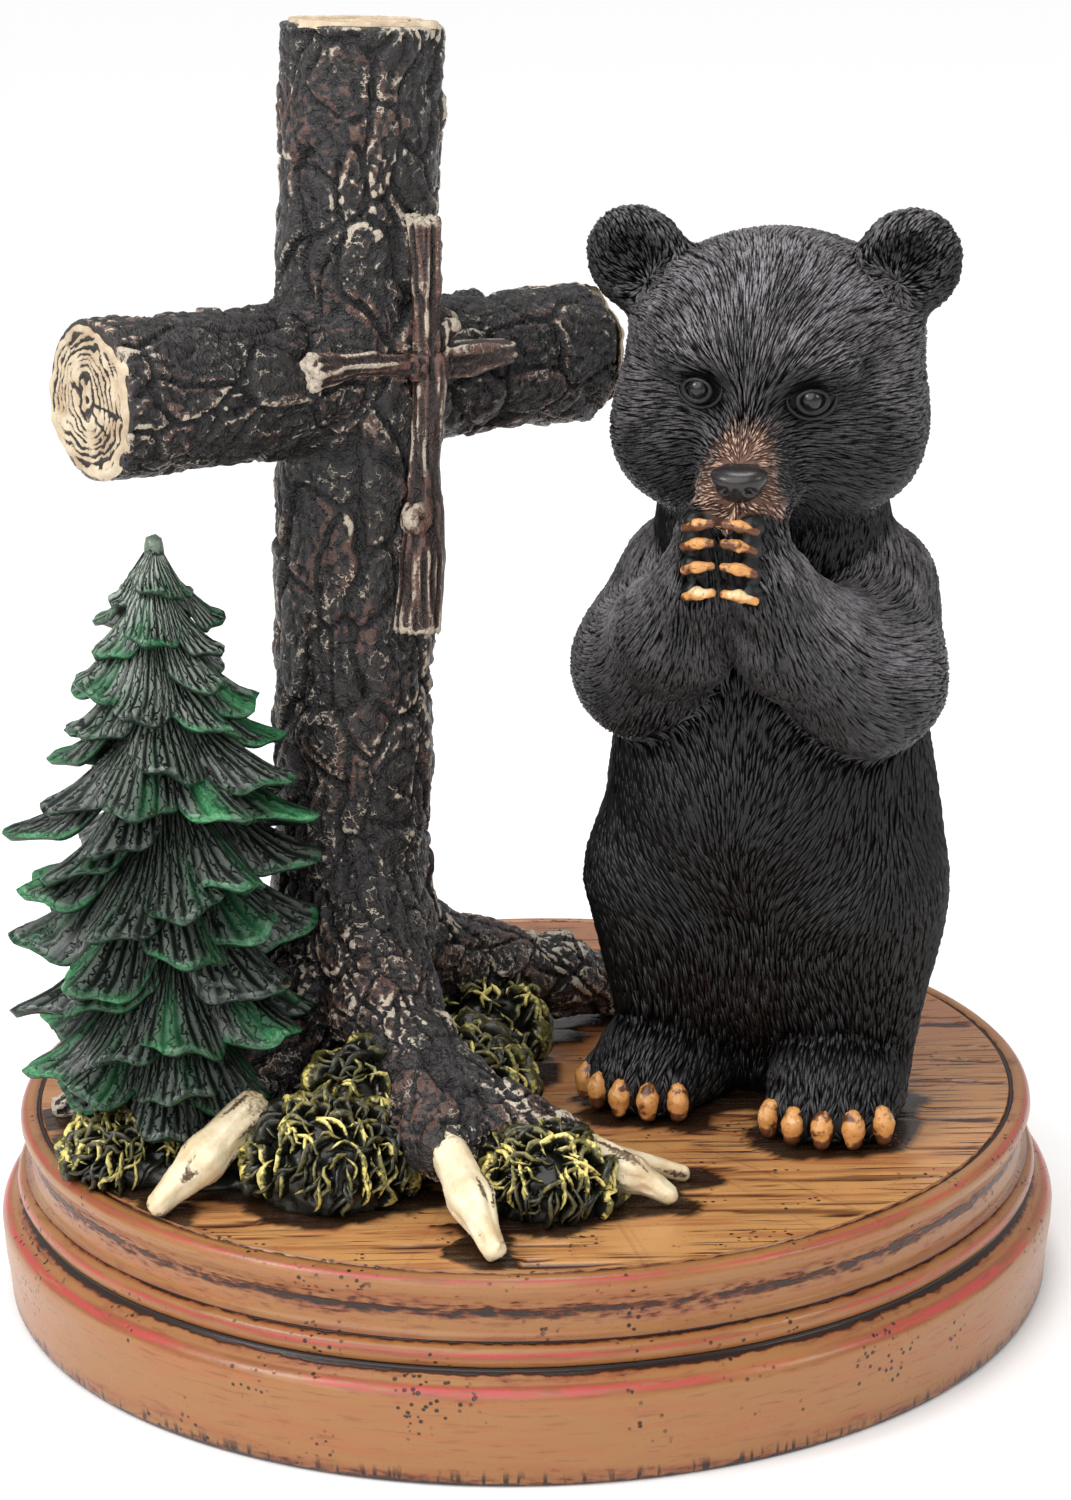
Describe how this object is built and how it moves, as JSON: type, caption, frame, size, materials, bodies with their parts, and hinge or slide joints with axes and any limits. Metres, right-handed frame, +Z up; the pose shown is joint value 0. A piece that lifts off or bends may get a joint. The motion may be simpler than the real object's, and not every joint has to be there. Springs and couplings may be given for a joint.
{
  "type": "praying bear figurine",
  "caption": "Cast tabletop figurine of an upright bear cub with folded paws beside a log cross and a small pine, on a round stepped plinth.",
  "frame": {"origin": "centre of the plinth's round underside", "axes": "+Z up, -Y towards the viewer of the picture, +X to the viewer's right"},
  "size_m": [0.152, 0.152, 0.1789],
  "materials": {
    "plinth_wood_paint": "satin wood-effect paint with dark wash in the grooves and rubbed red edges, over cast resin",
    "bark_paint": "dark bark paint with cream and red-brown dry brushing over cast resin",
    "pine_paint": "green dry brushing over black on cast resin",
    "bear_paint": "satin black paint over carved fur, with tan claws, in cast resin"
  },
  "bodies": {
    "root": {"plinth": "plinth_wood_paint", "log_cross": "bark_paint", "pine_tree": "pine_paint", "bear": "bear_paint"}
  },
  "joints": []
}
